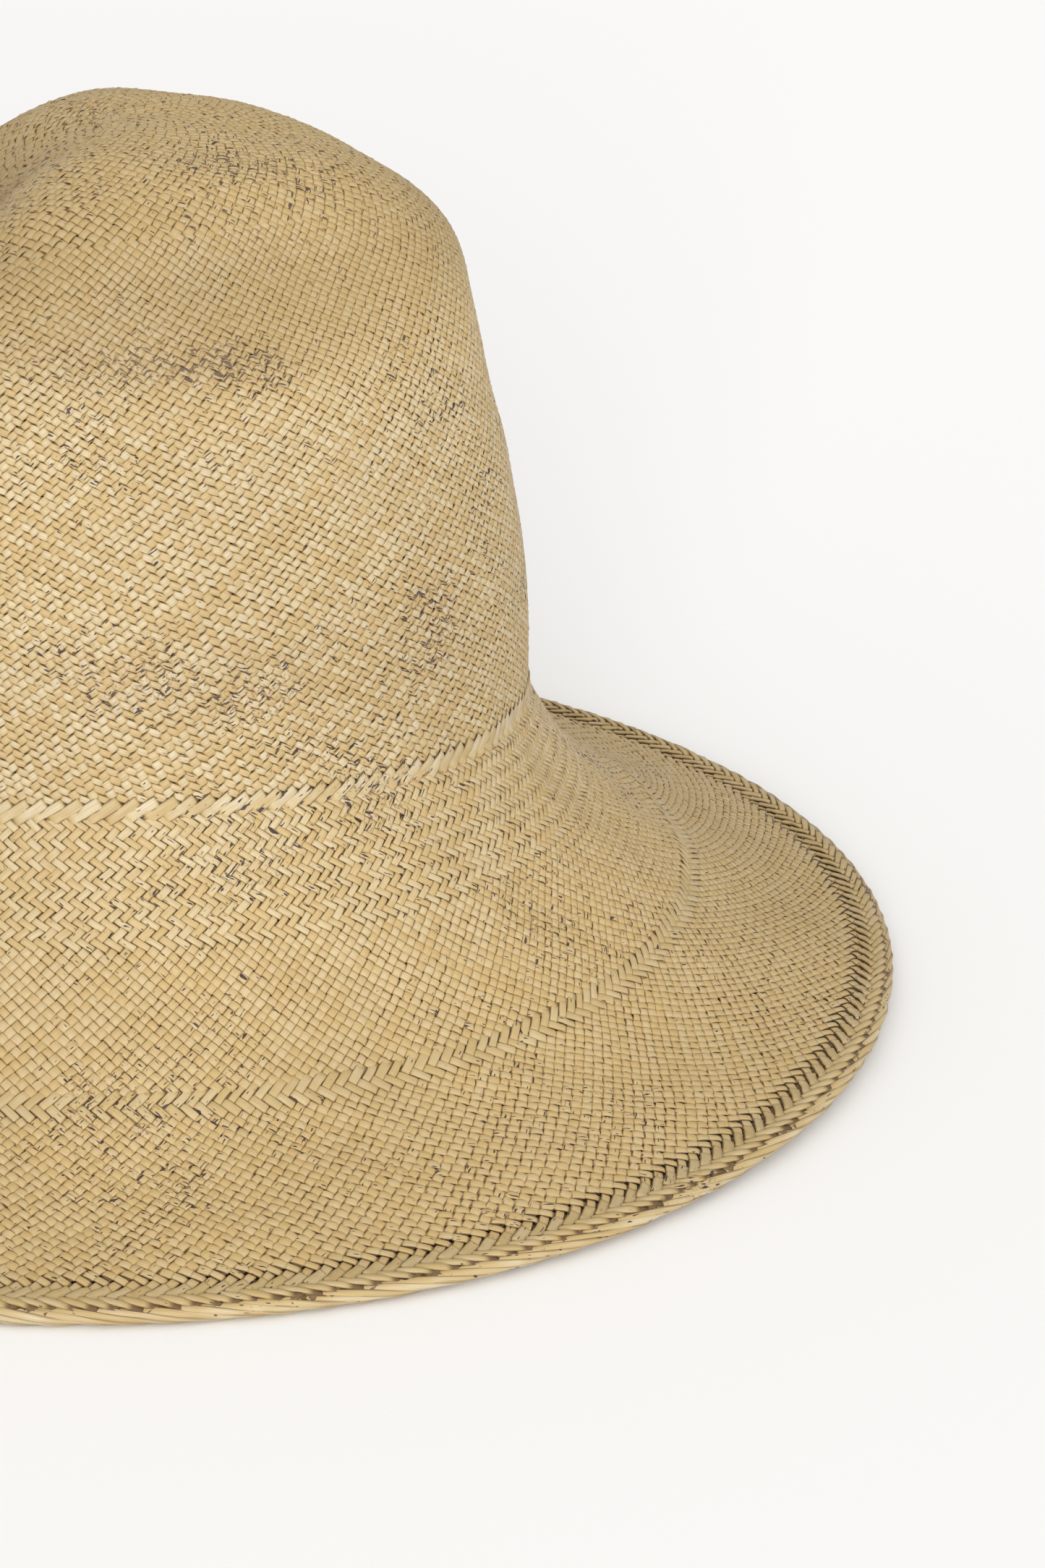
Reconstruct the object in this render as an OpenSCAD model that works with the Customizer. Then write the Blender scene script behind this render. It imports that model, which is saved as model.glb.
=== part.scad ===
// Hand-woven straw hat: a soft, tall crown over a down-sloping bell brim.
// The wearer faces +X, the hat rests on the plane z = 0, and its origin is on that
// plane below the middle of the hat. All lengths are in millimetres.

/* [Head opening] */
// Half of the head opening's length, front to back
opening_half_length = 101; // [96:1:106]
// Half of the head opening's width, ear to ear
opening_half_width = 82; // [78:1:86]
// Height of the headline above the surface that the hat rests on
headline_height = 70; // [62:1:76]

/* [Crown] */
// Height of the crown above the headline, before its top is dented
crown_height = 142; // [125:1:150]
// Lean of the soft crown towards the wearer's left, in degrees
crown_lean = 4.5; // [0:0.5:8]
// Depth of the dent in the top of the crown
top_dent_depth = 30; // [5:1:35]
// Depth of the two pinches at the front of the crown
pinch_depth = 12; // [0:1:14]

/* [Brim] */
// Width of the brim at the front and the back, seen from above
brim_width_ends = 88; // [75:1:100]
// Width of the brim at the sides, seen from above
brim_width_sides = 88; // [80:1:105]
// How far the front of the brim lifts off the surface
front_lift = 3; // [0:0.5:6]

/* [Straw] */
// Thickness of the woven straw
straw_thickness = 1.4; // [1:0.1:2]
// Thickness of the raised braid at the headline
headline_braid_thickness = 2.6; // [2:0.1:3.2]
// Thickness of the thin, open row inside the edge braid
openwork_thickness = 0.9; // [0.7:0.1:1.3]
// Thickness of the braid along the edge
edge_braid_thickness = 2.2; // [1.8:0.1:2.8]
// Height of the rolled edge that the hat rests on
rolled_edge_height = 4.2; // [3:0.1:5]
// Width of the rolled edge
rolled_edge_width = 4.4; // [3:0.1:5]

/* [Sweatband] */
// Width of the cloth sweatband
sweatband_width = 30; // [20:1:36]
// Thickness of the sweatband's cloth
sweatband_thickness = 0.8; // [0.6:0.1:1.2]
// Gap between the straw and the sweatband
sweatband_gap = 0.5; // [0.4:0.1:1]
// Length of one stitch that holds the sweatband
stitch_length = 3.4; // [2:0.2:4.4]
// Width across the loops of the sweatband's bow
bow_width = 34; // [24:1:40]

/* [Hidden] */

// Colours
straw = [0.80, 0.70, 0.47];
straw_deep = [0.74, 0.63, 0.40];
cloth = [0.66, 0.58, 0.42];
thread = [0.85, 0.79, 0.64];

// The crown's wall from its tip down to the headline: share of the opening's half
// length or half width, and share of the crown's height
crown_profile = [[0, 0.955], [0.26, 0.962], [0.45, 0.94], [0.595, 0.895], [0.767, 0.80],
                 [0.85, 0.67], [0.908, 0.50], [0.956, 0.30], [0.978, 0.14], [1, 0]];
// The brim from the headline out to its edge: share of its width, share of its drop
brim_profile = [[0, 0], [0.09, 0.20], [0.24, 0.45], [0.45, 0.68], [0.70, 0.86], [1, 1]];

// Rings where one kind of weave ends and the next begins, along the hat's wall:
// 0 is the tip, 1 is the headline and 2 is the outer end of the brim's weave
ring_tip_end = 0.45;
ring_side_end = 0.985;
ring_headline_end = 1.015;
ring_herringbone_end = 1.32;
ring_rib_start = 1.584;
ring_rib_end = 1.631;
ring_openwork_start = 1.931;
ring_openwork_end = 1.955;
ring_braid_end = 1.981;

// Middle of the dent in the top, and its spreads along X and Y
top_dent_place = [-38, 5];
top_dent_spread = [26, 49];
// Direction of the front pinches from +X, their height, and their spreads
pinch_angle = 54;
pinch_height = 184;
pinch_spread_angle = 30;
pinch_spread_height = 15;
// Direction in which the brim is lifted, and the spread of that lift
lift_angle = -6;
lift_spread = 46;

// Segments around the hat
around = 72;
// Step used to find the wall's direction
nudge = 0.004;

// ---- The wall as a surface: place along the wall, and angle from +X ----

function cubic(a, b, c, d, t) =
    0.5 * (2 * b + (c - a) * t + (2 * a - 5 * b + 4 * c - d) * t * t
           + (3 * b - a - 3 * c + d) * t * t * t);

// A smooth curve through the points, with place running from 0 to 1
function along(points, place) =
    let (last = len(points) - 1,
         scaled = min(max(place, 0), 1) * last,
         i = min(floor(scaled), last - 1),
         before = i > 0 ? points[i - 1] : 2 * points[0] - points[1],
         after = i < last - 1 ? points[i + 2] : 2 * points[last] - points[last - 1])
    cubic(before, points[i], points[i + 1], after, scaled - i);

function bump(x, spread) = exp(-(x / spread) * (x / spread));

// The soft crown leans about the middle of the head opening
function leaned(p) =
    [p[0], p[1] * cos(crown_lean) + p[2] * sin(crown_lean),
     p[2] * cos(crown_lean) - p[1] * sin(crown_lean)];

function top_dent(p) =
    top_dent_depth * bump(p[0] - top_dent_place[0], top_dent_spread[0])
                   * bump(p[1] - top_dent_place[1], top_dent_spread[1]);

function pinch(p, angle) =
    pinch_depth * bump(p[2] - pinch_height, pinch_spread_height)
    * (bump(angle - 360 + pinch_angle, pinch_spread_angle)
       + bump(angle - pinch_angle, pinch_spread_angle));

function dented(p, angle) =
    [p[0] - pinch(p, angle) * cos(angle), p[1] - pinch(p, angle) * sin(angle),
     p[2] - top_dent(p)];

function crown_point(place, angle) =
    let (shape = along(crown_profile, place),
         flat = [opening_half_length * shape[0] * cos(angle),
                 opening_half_width * shape[0] * sin(angle),
                 crown_height * shape[1]])
    dented(leaned(flat) + [0, 0, headline_height], angle);

function edge_lift(angle) =
    front_lift * bump((angle > 180 ? angle - 360 : angle) - lift_angle, lift_spread);

function brim_point(place, angle) =
    let (shape = along(brim_profile, place),
         inner = crown_point(1, angle),
         outer = [(opening_half_length + brim_width_ends) * cos(angle),
                  (opening_half_width + brim_width_sides) * sin(angle),
                  rolled_edge_height / 2 + edge_lift(angle)])
    [inner[0] + (outer[0] - inner[0]) * shape[0],
     inner[1] + (outer[1] - inner[1]) * shape[0],
     inner[2] + (outer[2] - inner[2]) * shape[1]];

function wall_point(ring, angle) =
    ring <= 1 ? crown_point(ring, angle) : brim_point(ring - 1, angle);

function unit(v) = v / norm(v);

// Direction straight out of the hat
function wall_normal(ring, angle) =
    let (near = max(ring - nudge, nudge),
         down = wall_point(near + 2 * nudge, angle) - wall_point(near, angle),
         turn = wall_point(near + nudge, angle + 1) - wall_point(near + nudge, angle - 1))
    unit(cross(down, turn));

function off_wall(ring, angle, distance) =
    wall_point(ring, angle) + wall_normal(ring, angle) * distance;

// ---- Shells ----

// Points of a shell: its outer side, then its inner side, ring by ring.
// rings holds [ring, distance to the outer side, distance to the inner side].
function shell_points(rings) =
    [for (side = [1, 2]) for (r = rings) for (a = [0 : around - 1])
        off_wall(r[0], 360 * a / around, r[side])];

function quad(a, b, c, d) = [[a, b, c], [a, c, d]];

function shell_faces(steps) =
    let (inside = (steps + 1) * around)
    [for (i = [0 : steps - 1]) for (a = [0 : around - 1])
        let (b = (a + 1) % around, top = i * around, low = top + around)
        each concat(quad(top + a, top + b, low + b, low + a),
                    quad(inside + top + a, inside + low + a,
                         inside + low + b, inside + top + b))];

// The narrow face that joins the two sides of a shell along its last ring
function lower_edge_faces(steps) =
    let (inside = (steps + 1) * around, low = steps * around)
    [for (a = [0 : around - 1])
        let (b = (a + 1) % around)
        each quad(low + a, low + b, inside + low + b, inside + low + a)];

function upper_edge_faces(steps) =
    let (inside = (steps + 1) * around)
    [for (a = [0 : around - 1])
        let (b = (a + 1) % around)
        each quad(a, inside + a, inside + b, b)];

function spaced(start, end, steps) =
    [for (i = [0 : steps]) start + (end - start) * i / steps];

// A ring of the wall, with its middle thicker than its two edges where it is raised
module woven_ring(start, end, steps, edge_thickness, middle_thickness) {
    rings = [for (i = [0 : steps])
        let (thick = edge_thickness
                     + (middle_thickness - edge_thickness) * sin(180 * i / steps))
        [start + (end - start) * i / steps,
         thick - straw_thickness / 2, -straw_thickness / 2]];
    polyhedron(shell_points(rings),
               concat(shell_faces(steps), lower_edge_faces(steps),
                      upper_edge_faces(steps)));
}

// The closed start of the weave: rings around a middle point on each side
module woven_tip(end, steps, thickness) {
    first = 0.03;
    rings = [for (r = spaced(first, end, steps)) [r, thickness / 2, -thickness / 2]];
    count = 2 * (steps + 1) * around;
    middle = crown_point(0, 0);
    polyhedron(
        concat(shell_points(rings),
               [middle + [0, 0, thickness / 2], middle - [0, 0, thickness / 2]]),
        concat(shell_faces(steps), lower_edge_faces(steps),
               [for (a = [0 : around - 1])
                   let (b = (a + 1) % around, inside = count / 2)
                   each [[a, count, b], [inside + a, inside + b, count + 1]]]));
}

// ---- The woven straw ----

module crown_tip() {
    color(straw) woven_tip(ring_tip_end, 9, straw_thickness);
}

module crown_side() {
    color(straw)
        woven_ring(ring_tip_end, ring_side_end, 14, straw_thickness, straw_thickness);
}

module headline_braid() {
    color(straw_deep)
        woven_ring(ring_side_end, ring_headline_end, 4, straw_thickness,
                   headline_braid_thickness);
}

module herringbone_band() {
    color(straw)
        woven_ring(ring_headline_end, ring_herringbone_end, 6, straw_thickness,
                   straw_thickness);
}

module brim_inner_field() {
    color(straw)
        woven_ring(ring_herringbone_end, ring_rib_start, 5, straw_thickness,
                   straw_thickness);
}

module brim_rib() {
    color(straw_deep)
        woven_ring(ring_rib_start, ring_rib_end, 2, straw_thickness,
                   straw_thickness + 0.4);
}

module brim_outer_field() {
    color(straw)
        woven_ring(ring_rib_end, ring_openwork_start, 6, straw_thickness,
                   straw_thickness);
}

module openwork_row() {
    color(straw_deep)
        woven_ring(ring_openwork_start, ring_openwork_end, 2, straw_thickness,
                   openwork_thickness);
}

module edge_braid() {
    color(straw)
        woven_ring(ring_openwork_end, ring_braid_end, 4, straw_thickness,
                   edge_braid_thickness);
}

// The outermost cord: a flat-bottomed oval swept around the edge of the brim
module rolled_edge() {
    sides = 12;
    reach = 1 / cos(180 / sides);
    outline = [for (i = [0 : sides - 1])
        let (turn = 360 * (i + 0.5) / sides)
        [rolled_edge_width / 2 * reach * cos(turn),
         rolled_edge_height / 2 * reach * sin(turn)]];
    points = [for (a = [0 : around - 1]) for (q = outline)
        let (angle = 360 * a / around,
             middle = brim_point(1, angle))
        middle + [q[0] * cos(angle), q[0] * sin(angle), q[1]]];
    faces = [for (a = [0 : around - 1]) for (i = [0 : sides - 1])
        let (here = a * sides, next = ((a + 1) % around) * sides, j = (i + 1) % sides)
        each quad(here + i, here + j, next + j, next + i)];
    color(straw_deep) polyhedron(points, faces);
}

// ---- The lining inside the head opening ----

// Ring at a height above the headline, on the crown's wall
function ring_at_height(height) =
    let (last = len(crown_profile) - 1)
    lookup(height, [for (i = [last : -1 : 3])
                        [crown_height * crown_profile[i][1], i / last]]);

sweatband_outside = -straw_thickness / 2 - sweatband_gap;
sweatband_inside = sweatband_outside - sweatband_thickness;
sweatband_bottom = 2;

module sweatband() {
    steps = 4;
    top = ring_at_height(sweatband_bottom + sweatband_width);
    bottom = ring_at_height(sweatband_bottom);
    rings = [for (r = spaced(top, bottom, steps)) [r, sweatband_outside, sweatband_inside]];
    color(cloth)
        polyhedron(shell_points(rings),
                   concat(shell_faces(steps), lower_edge_faces(steps),
                          upper_edge_faces(steps)));
}

// Direction along the head opening's edge at an angle from +X
function edge_direction(angle) =
    atan2(opening_half_width * cos(angle), -opening_half_length * sin(angle));

module sweatband_stitches() {
    thread_size = 0.5;
    clear = 0.2;
    ring = ring_at_height(sweatband_bottom + 1.6);
    color(thread)
        for (i = [0 : around - 1])
            let (angle = 360 * (i + 0.5) / around)
            translate(off_wall(ring, angle, sweatband_inside - clear - thread_size / 2))
                rotate([0, 0, edge_direction(angle)])
                    cube([stitch_length, thread_size, thread_size], center = true);
}

module bow_loop(length) {
    linear_extrude(height = 1, center = true)
        polygon([[1.5, -2], [length * 0.8, -5], [length, -4.2], [length, 4.2],
                 [length * 0.8, 5], [1.5, 2]]);
}

// A flat bow over the join at the back, lying along the curve of the sweatband
module sweatband_bow() {
    bend = 14;
    place = off_wall(ring_at_height(sweatband_bottom + 8), 180, sweatband_inside - 1.6);
    color(cloth)
        translate(place) rotate([90, 0, 90]) {
            cube([3.2, 6, 2], center = true);
            for (side = [0, 1]) mirror([side, 0, 0])
                rotate([0, -bend, 0]) bow_loop(bow_width / 2);
        }
}

crown_tip();
crown_side();
headline_braid();
herringbone_band();
brim_inner_field();
brim_rib();
brim_outer_field();
openwork_row();
edge_braid();
rolled_edge();
sweatband();
sweatband_bow();
sweatband_stitches();
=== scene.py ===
"""Looks of the hand-woven straw hat: every strand of its weave, its braided and rolled
edge, its cloth sweatband, the studio floor and light, and the camera.

Lengths are in millimetres and angles in degrees, until a mesh is made in metres.
"""
import math

import bpy
import numpy as np
from mathutils import Matrix, Vector


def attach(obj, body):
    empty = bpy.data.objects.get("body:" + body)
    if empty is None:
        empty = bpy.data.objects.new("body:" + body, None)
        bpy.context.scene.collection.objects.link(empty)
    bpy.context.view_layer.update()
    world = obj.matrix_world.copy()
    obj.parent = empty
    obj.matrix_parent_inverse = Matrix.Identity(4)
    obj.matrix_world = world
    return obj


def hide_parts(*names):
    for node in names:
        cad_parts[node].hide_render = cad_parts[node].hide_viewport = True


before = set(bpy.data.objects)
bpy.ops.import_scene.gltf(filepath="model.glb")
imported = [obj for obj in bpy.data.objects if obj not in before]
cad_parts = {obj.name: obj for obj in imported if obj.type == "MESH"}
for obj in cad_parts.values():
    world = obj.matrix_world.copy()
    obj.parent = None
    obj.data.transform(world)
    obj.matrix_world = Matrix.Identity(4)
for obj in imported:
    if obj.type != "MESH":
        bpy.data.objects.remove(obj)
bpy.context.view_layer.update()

MM = 0.001

# ---- The hat's wall, as part.scad has it ----

OPENING_HALF_LENGTH = 101
OPENING_HALF_WIDTH = 82
HEADLINE_HEIGHT = 70
CROWN_HEIGHT = 142
CROWN_LEAN = 4.5
TOP_DENT_DEPTH = 30
PINCH_DEPTH = 12
BRIM_WIDTH_ENDS = 88
BRIM_WIDTH_SIDES = 88
FRONT_LIFT = 3
ROLLED_EDGE_HEIGHT = 4.2
ROLLED_EDGE_WIDTH = 4.4
CROWN_PROFILE = np.array([[0, .955], [.26, .962], [.45, .94], [.595, .895], [.767, .80],
                          [.85, .67], [.908, .50], [.956, .30], [.978, .14], [1, 0]])
BRIM_PROFILE = np.array([[0, 0], [.09, .20], [.24, .45], [.45, .68], [.70, .86], [1, 1]])
TOP_DENT_PLACE = (-38, 5)
TOP_DENT_SPREAD = (26, 49)
PINCH_ANGLE = 54
PINCH_HEIGHT = 184
PINCH_SPREAD_ANGLE = 30
PINCH_SPREAD_HEIGHT = 15
LIFT_ANGLE = -6
LIFT_SPREAD = 46

# Rings where one kind of weave ends and the next begins: 0 is the tip of the crown,
# 1 is the headline and 2 is the outer end of the brim's weave
RING_TIP_END = 0.45
RING_SIDE_END = 0.985
RING_HEADLINE_END = 1.015
RING_HERRINGBONE_END = 1.32
RING_RIB_START = 1.584
RING_RIB_END = 1.631
RING_OPENWORK_START = 1.931
RING_OPENWORK_END = 1.955
RING_BRAID_END = 1.981

# Steps of the table that holds the wall
RING_STEPS = 1000
ANGLE_STEPS = 720
# Waves in the wall: their length and height, how many there are of each length, and the
# ring that they have faded out at, with the width of the fade
WALL_WAVES = ((70, 0.7), (38, 0.35), (20, 0.16))
WAVES_OF_A_LENGTH = 5
WAVES_END = 1.97
WAVES_FADE = 0.12

# Random phases lie between 0 and this, about a full turn in radians
FULL_TURN = 6.3
random = np.random.default_rng(20)


def cubic(a, b, c, d, t):
    """The curve between b and c of a smooth line through a, b, c and d."""
    return 0.5 * (2 * b + (c - a) * t + (2 * a - 5 * b + 4 * c - d) * t**2
                  + (3 * b - a - 3 * c + d) * t**3)


def along(points, place):
    """A smooth curve through the points, with place running from 0 to 1."""
    ends = np.vstack([2 * points[0] - points[1], points, 2 * points[-1] - points[-2]])
    last = len(points) - 1
    scaled = np.clip(place, 0, 1) * last
    i = np.minimum(scaled.astype(int), last - 1)
    return cubic(ends[i], ends[i + 1], ends[i + 2], ends[i + 3], (scaled - i)[..., None])


def bump(x, spread):
    """A bell curve: 1 where x is 0, and about a third where x is the spread."""
    return np.exp(-((x / spread) ** 2))


def crown_points(place, angle):
    """Places on the crown, with place running from 0 at the tip to 1 at the headline."""
    shape = along(CROWN_PROFILE, place)
    turn, lean = np.radians(angle), math.radians(CROWN_LEAN)
    x = OPENING_HALF_LENGTH * shape[..., 0] * np.cos(turn)
    y = OPENING_HALF_WIDTH * shape[..., 0] * np.sin(turn)
    z = CROWN_HEIGHT * shape[..., 1]
    y, z = y * math.cos(lean) + z * math.sin(lean), z * math.cos(lean) - y * math.sin(lean)
    z = z + HEADLINE_HEIGHT
    pinch = PINCH_DEPTH * bump(z - PINCH_HEIGHT, PINCH_SPREAD_HEIGHT) * (
        bump(angle - 360 + PINCH_ANGLE, PINCH_SPREAD_ANGLE)
        + bump(angle - PINCH_ANGLE, PINCH_SPREAD_ANGLE))
    dent = (TOP_DENT_DEPTH * bump(x - TOP_DENT_PLACE[0], TOP_DENT_SPREAD[0])
            * bump(y - TOP_DENT_PLACE[1], TOP_DENT_SPREAD[1]))
    return np.stack([x - pinch * np.cos(turn), y - pinch * np.sin(turn), z - dent], -1)


def edge_lift(angle):
    """How far the rim is lifted off the surface that the hat stands on."""
    signed = (angle + 180) % 360 - 180
    return FRONT_LIFT * bump(signed - LIFT_ANGLE, LIFT_SPREAD)


def brim_points(place, angle):
    """Places on the brim, with place running from 0 at the headline to 1 at the rim."""
    shape = along(BRIM_PROFILE, place)
    turn = np.radians(angle)
    inner = crown_points(np.ones_like(place), angle)
    outer = np.stack([(OPENING_HALF_LENGTH + BRIM_WIDTH_ENDS) * np.cos(turn),
                      (OPENING_HALF_WIDTH + BRIM_WIDTH_SIDES) * np.sin(turn),
                      ROLLED_EDGE_HEIGHT / 2 + edge_lift(angle)], -1)
    share = np.stack([shape[..., 0], shape[..., 0], shape[..., 1]], -1)
    return inner + (outer - inner) * share


def unit(vectors):
    return vectors / np.maximum(np.linalg.norm(vectors, axis=-1, keepdims=True), 1e-9)


class Wall:
    """The middle of the hat's wall as tables over ring and angle, with a soft, uneven
    surface such as a hand-blocked hat has."""

    def __init__(self):
        ring = np.linspace(0, 2, RING_STEPS + 1)[:, None]
        angle = np.arange(ANGLE_STEPS)[None, :] * 360 / ANGLE_STEPS
        ring, angle = np.broadcast_arrays(ring, angle)
        crown = crown_points(ring, angle)
        brim = brim_points(ring - 1, angle)
        self.points = np.where((ring <= 1)[..., None], crown, brim)
        self.normals = self.find_normals()
        self.points = self.points + self.normals * self.waves(ring)[..., None]
        self.normals = self.find_normals()
        step = np.linalg.norm(np.diff(self.points, axis=0), axis=-1)
        self.arc = np.vstack([np.zeros((1, ANGLE_STEPS)), np.cumsum(step, 0)])

    def find_normals(self):
        down = np.gradient(self.points, axis=0)
        turn = np.roll(self.points, -1, 1) - np.roll(self.points, 1, 1)
        normals = unit(np.cross(down, turn))
        normals[:4] = unit(normals[4].mean(0))
        return normals

    def waves(self, ring):
        """Low waves across the wall that fade out at the rim the hat stands on."""
        total = np.zeros(self.points.shape[:2])
        for length, height in WALL_WAVES:
            for _ in range(WAVES_OF_A_LENGTH):
                way = unit(random.normal(size=3)) * 2 * math.pi / length
                total += height / 2 * np.sin(self.points @ way + random.uniform(0, FULL_TURN))
        return total * np.clip((WAVES_END - ring) / WAVES_FADE, 0, 1)

    def sample(self, table, ring, angle):
        """The table's value between its steps."""
        r = np.clip(ring / 2, 0, 1) * (RING_STEPS - 1e-6)
        a = (angle / 360 % 1) * ANGLE_STEPS
        r0, a0 = r.astype(int), a.astype(int) % ANGLE_STEPS
        outwards, around = (r - r0)[..., None], (a - a.astype(int))[..., None]
        a1 = (a0 + 1) % ANGLE_STEPS
        near = table[r0, a0] * (1 - around) + table[r0, a1] * around
        far = table[r0 + 1, a0] * (1 - around) + table[r0 + 1, a1] * around
        return near * (1 - outwards) + far * outwards

    def ring_at_arc(self, distance):
        """The ring at that distance from the tip, as a mean over all angles."""
        return np.interp(distance, self.arc.mean(1), np.linspace(0, 2, RING_STEPS + 1))


wall = Wall()

# ---- The weave ----

# Slow waves in the strands' course around the hat, shared by all zones so that strands
# run on from one zone to the next: waves around the hat, degrees aside, and two phases
WANDER = [(turns, 0.5 * random.normal() / turns**0.7, *random.uniform(0, FULL_TURN, 2))
          for turns in range(2, 12)]


def wander(ring, angle):
    """How many degrees the strands lie aside of their even places."""
    return sum(size * np.sin(np.radians(turns * angle) + a + b * ring)
               for turns, size, a, b in WANDER)


# Thickness of one strand, and how far its middle lies above or below the wall's middle
STRAND_THICKNESS = 0.42
STRAND_RISE = 0.28
# A strand's width as a share of the distance between strands, how much it changes from
# strand to strand and along one strand, and its limits
STRAND_FILL = 1.0
WIDTH_SPREAD = 0.05
WIDTH_CHANGE = 0.06
WIDTH_LIMITS = (0.8, 1.12)
# How far strands stray from their course: aside, as a share of the distance between
# strands, up or down, as a share of their rise, and turned about their own length
STRAY_ASIDE = 0.035
STRAY_RISE = 0.10
STRAY_ROLL = 5
# A row's samples, from its middle, and the rise that is left where the strand dives
ROW_SAMPLES = (-0.3, 0, 0.3)
SHOULDER = 0.8
# Where a zone's weave meets another, its strands go on under it for this many rows, to
# this rise. Where the zones meet they keep this share of their own rise, less a drop.
TUCK = 1.4
TUCK_RISE = -1.5
TUCK_EDGE_SHARE = 0.5
TUCK_EDGE_DROP = 0.1
# Cross-section of a strand: share of its half width, share of its half thickness
SECTION = np.array([[-1, 0], [-.72, 1], [.72, 1], [1, 0], [.72, -1], [-.72, -1]])
# Steps of the table that holds a zone, from its inner to its outer ring
ZONE_STEPS = 64
# Most triangles in one piece
PIECE_TRIANGLES = 190000


class Zone:
    """A ring of weave between two rings of the wall. Its strands run in two directions and
    cross in rows. order has one letter for each row: R where the strands that run to the
    right going outwards lie on top, L where the others do. A zone that follows another
    goes on with its strands; ahead is the first letter of the zone that follows this one.
    Where no zone is joined, the strands tuck in under the neighbouring weave. The weave
    lies at a height over the wall's middle and climbs by as much again as climb says."""

    def __init__(self, start, end, strands, order, follows=None, ahead=" ", lean=0.0,
                 fill=STRAND_FILL, rise=STRAND_RISE, height=0.0, climb=0.0,
                 thickness=STRAND_THICKNESS):
        self.start, self.end, self.strands, self.order = start, end, strands, order
        self.before, self.after = follows.order[-1] if follows else " ", ahead
        self.phase = follows.phase + len(follows.order) if follows else 0
        self.turn = follows.turn + follows.lean * len(follows.order) if follows else 0
        self.lean, self.fill, self.rise = lean, fill, rise
        self.height, self.climb, self.thickness = height, climb, thickness
        rings = np.linspace(0, 2, RING_STEPS + 1)
        shares = np.linspace(0, 1, ZONE_STEPS + 1)
        low, high = self.arcs(start), self.arcs(end)
        self.rings = np.stack([np.interp(low[a] + shares * (high[a] - low[a]),
                                         wall.arc[:, a], rings)
                               for a in range(ANGLE_STEPS)], 1)

    def arcs(self, ring):
        """Distance from the tip to the ring, at each angle of the wall's table."""
        angles = np.arange(ANGLE_STEPS) * 360 / ANGLE_STEPS
        return wall.sample(wall.arc[..., None], np.full(ANGLE_STEPS, ring), angles)[:, 0]

    def ring_at(self, share, angle):
        """The ring at that share of the way across the zone, between the table's steps."""
        s = share * ZONE_STEPS
        a = (angle / 360 % 1) * ANGLE_STEPS
        s0 = np.clip(s.astype(int), 0, ZONE_STEPS - 1)
        a0 = a.astype(int) % ANGLE_STEPS
        around = a - a.astype(int)
        a1 = (a0 + 1) % ANGLE_STEPS
        near = self.rings[s0, a0] * (1 - around) + self.rings[s0, a1] * around
        far = self.rings[s0 + 1, a0] * (1 - around) + self.rings[s0 + 1, a1] * around
        return near + (far - near) * (s - s0)

    def row_samples(self):
        """Where the strands are sampled, in rows from the zone's inner edge."""
        rows = np.arange(len(self.order))[:, None] + 0.5 + np.array(ROW_SAMPLES)[None, :]
        inner = [0] if self.before != " " else [-TUCK, 0]
        outer = [len(self.order)] + ([len(self.order) + TUCK] if self.after == " " else [])
        return np.concatenate([inner, rows.ravel(), outer])

    def rises(self, direction):
        """Height of a strand's middle at each sample, from -1 to 1."""
        own = [1.0 if letter == direction else -1.0 for letter in self.order]
        levels = {direction: 1.0, " ": TUCK_RISE}
        first, last = levels.get(self.before, -1.0), levels.get(self.after, -1.0)
        around = [first] + own + [last]
        out = [(first + own[0]) / 2] if self.before != " " else [
            first, TUCK_EDGE_SHARE * own[0] - TUCK_EDGE_DROP]
        for i, here in enumerate(own):
            inner, outer = around[i] == here, around[i + 2] == here
            out += [here * (1 if inner else SHOULDER), here, here * (1 if outer else SHOULDER)]
        out += [(own[-1] + last) / 2] if self.after != " " else [
            TUCK_EDGE_SHARE * own[-1] - TUCK_EDGE_DROP, last]
        return np.array(out)

    def angles(self, direction, strand, row):
        """Where around the hat a strand is when it gets to a row."""
        step = 360 / self.strands
        sign = 1 if direction == "R" else -1
        angle = step * (strand + sign * (row + self.phase - 0.5) / 2
                        + self.turn + self.lean * row)
        share = row / len(self.order)
        return angle + wander(self.start + (self.end - self.start) * share, angle)


def smooth_noise(strands, samples, step):
    """Random values for each strand that change slowly along it, one every few samples."""
    count = samples // step + 3
    knots = random.normal(size=(strands, count))
    place = np.arange(samples) / step
    i = place.astype(int)
    t = place - i
    t = t * t * (3 - 2 * t)
    return knots[:, i] * (1 - t) + knots[:, i + 1] * t


# Where the straw is soiled: middle, reach along X, Y and Z, and how much
SOILED = [(np.array(spot), np.array(size), amount) for spot, size, amount in (
    ((26, -57, 171), (30, 14, 3.8), 1.2), ((-8, -60, 175), (30, 14, 5), 0.5),
    ((-25, 10, 186), (24, 26, 14), 1.0), ((30, -20, 178), (16, 12, 12), 0.5),
    ((20, -76, 106), (36, 30, 11), 0.8), ((78, -48, 100), (16, 20, 24), 0.6),
    ((40, -60, 150), (30, 30, 12), 0.3), ((105, -60, 48), (30, 30, 12), 0.3))]

# Painted shade on the shoulder of the crown, where it turns up towards the top: its middle
# height and spread
SHOULDER_SHADE_HEIGHT = 183
SHOULDER_SHADE_SPREAD = 13


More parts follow.
